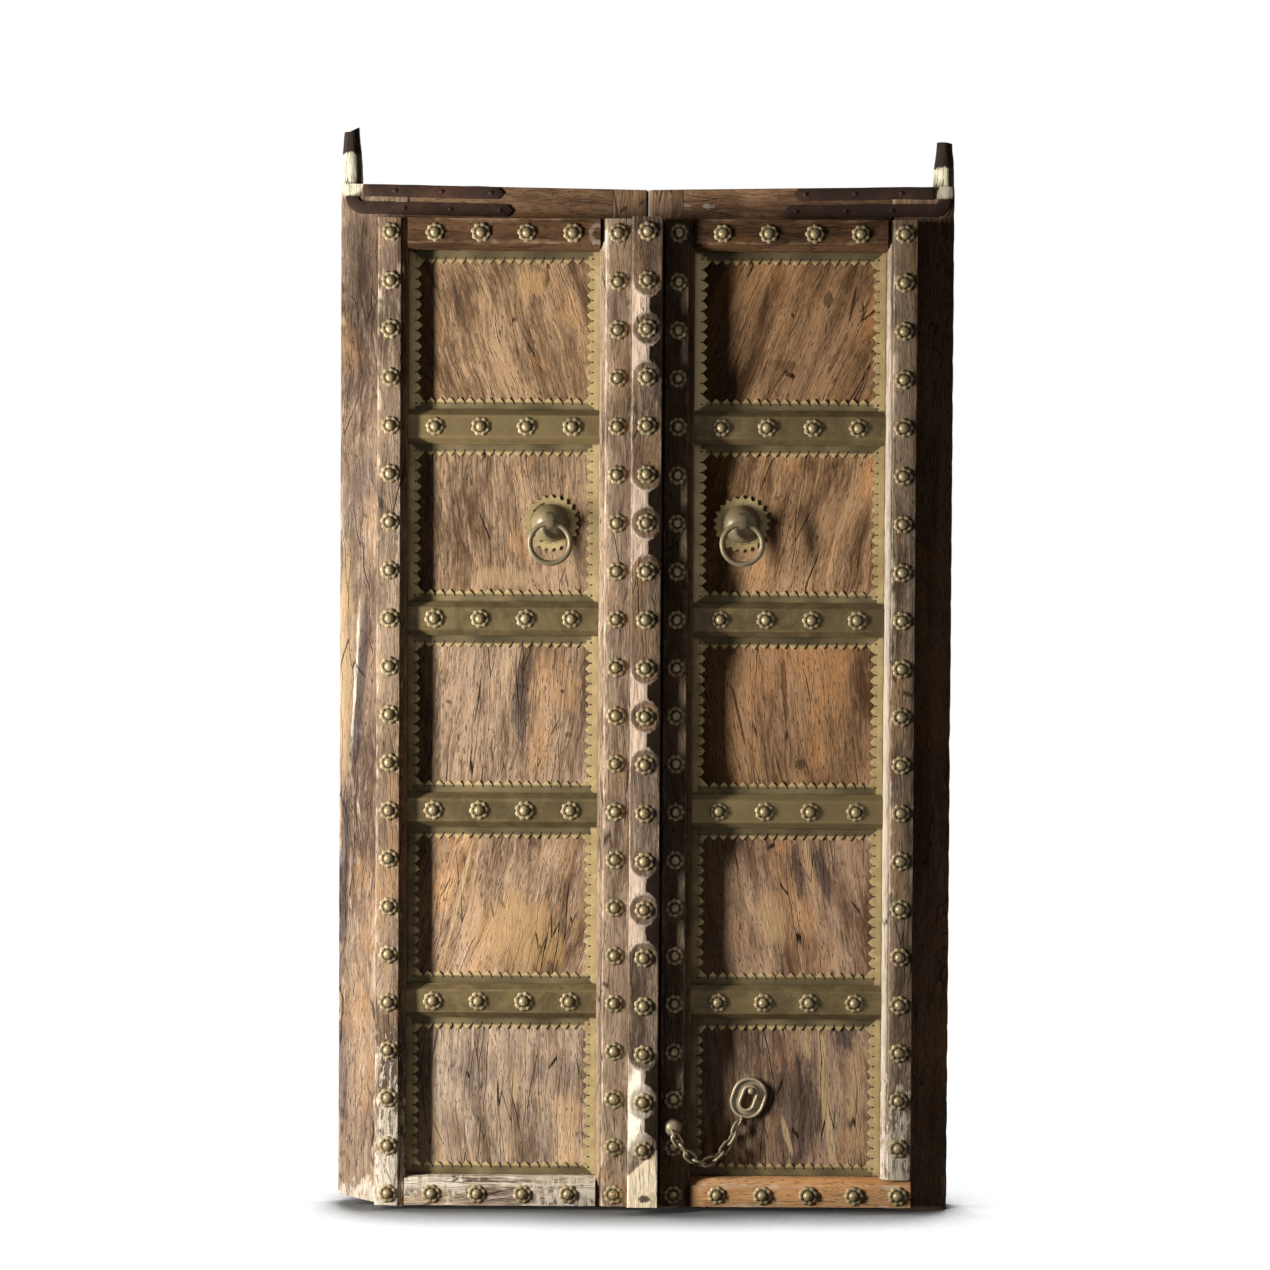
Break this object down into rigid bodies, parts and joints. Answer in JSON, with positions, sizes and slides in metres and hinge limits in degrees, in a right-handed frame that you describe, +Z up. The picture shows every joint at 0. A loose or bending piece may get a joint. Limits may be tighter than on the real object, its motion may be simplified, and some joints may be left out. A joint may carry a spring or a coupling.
{
  "type": "double door leaves",
  "caption": "Pair of old panelled teak door leaves on wooden pivot horns, with a carved meeting stile, brass studs and cladding, iron straps, ring pulls and a hasp on a chain.",
  "frame": {"origin": "floor level, in the middle of the pair's width and depth", "axes": "+Z up, -Y towards the front with the studs and ring pulls, +X towards the right leaf"},
  "size_m": [1.14, 0.1208, 2.016],
  "materials": {
    "base_teak": "weathered, oiled dark",
    "face_teak": "weathered, worn at edges",
    "panel_teak": "weathered, coarse grain",
    "sheet_brass": "aged, dull",
    "stud_brass": "aged, polished by touch",
    "hardware_brass": "aged",
    "strap_iron": "dark, rusted"
  },
  "bodies": {
    "left_leaf": {"left_hinge_stile": "base_teak", "left_lock_stile": "base_teak", "left_top_rail": "base_teak", "left_bottom_rail": "base_teak", "left_cross_rail_1": "base_teak", "left_cross_rail_2": "base_teak", "left_cross_rail_3": "base_teak", "left_cross_rail_4": "base_teak", "left_inner_face_stile": "face_teak", "left_outer_face_stile": "face_teak", "left_top_face_rail": "face_teak", "left_bottom_face_rail": "face_teak", "left_panel_1": "panel_teak", "left_panel_2": "panel_teak", "left_panel_3": "panel_teak", "left_panel_4": "panel_teak", "left_panel_5": "panel_teak", "left_rail_cladding": "sheet_brass", "left_panel_edging": "sheet_brass", "left_rosettes": "stud_brass", "left_stud_nails": "stud_brass", "left_iron_straps": "strap_iron", "left_pull_plate": "hardware_brass", "left_pull_dome": "hardware_brass", "left_pull_staple": "hardware_brass", "meeting_stile": "face_teak"},
    "right_leaf": {"right_hinge_stile": "base_teak", "right_lock_stile": "base_teak", "right_top_rail": "base_teak", "right_bottom_rail": "base_teak", "right_cross_rail_1": "base_teak", "right_cross_rail_2": "base_teak", "right_cross_rail_3": "base_teak", "right_cross_rail_4": "base_teak", "right_inner_face_stile": "face_teak", "right_outer_face_stile": "face_teak", "right_top_face_rail": "face_teak", "right_bottom_face_rail": "face_teak", "right_panel_1": "panel_teak", "right_panel_2": "panel_teak", "right_panel_3": "panel_teak", "right_panel_4": "panel_teak", "right_panel_5": "panel_teak", "right_rail_cladding": "sheet_brass", "right_panel_edging": "sheet_brass", "right_rosettes": "stud_brass", "right_stud_nails": "stud_brass", "right_iron_straps": "strap_iron", "right_pull_plate": "hardware_brass", "right_pull_dome": "hardware_brass", "right_pull_staple": "hardware_brass", "hasp_peg": "hardware_brass", "hasp": "hardware_brass", "chain_end_links": "hardware_brass", "chain_boss": "hardware_brass"},
    "left_pull_ring": {"left_pull_ring": "hardware_brass"},
    "right_pull_ring": {"right_pull_ring": "hardware_brass"},
    "hasp_chain": {"chain_links": "hardware_brass"}
  },
  "joints": [
    {"name": "right_leaf_swing", "type": "hinge", "parent": "left_leaf", "child": "right_leaf", "pos_m": [0.553, 0.03645, 0.95], "axis": [0, 0, -1], "range_deg": [0, 100]},
    {"name": "left_ring_swing", "type": "hinge", "parent": "left_leaf", "child": "left_pull_ring", "pos_m": [-0.178, -0.02125, 1.28], "axis": [-1, 0, 0], "range_deg": [-8, 110]},
    {"name": "right_ring_swing", "type": "hinge", "parent": "right_leaf", "child": "right_pull_ring", "pos_m": [0.178, -0.02125, 1.28], "axis": [-1, 0, 0], "range_deg": [-8, 110]},
    {"name": "chain_swing", "type": "hinge", "parent": "right_leaf", "child": "hasp_chain", "pos_m": [0.06941, -0.03354, 0.12812], "axis": [-0.9316, -0.3386, -0.1321], "range_deg": [0, 25]}
  ]
}
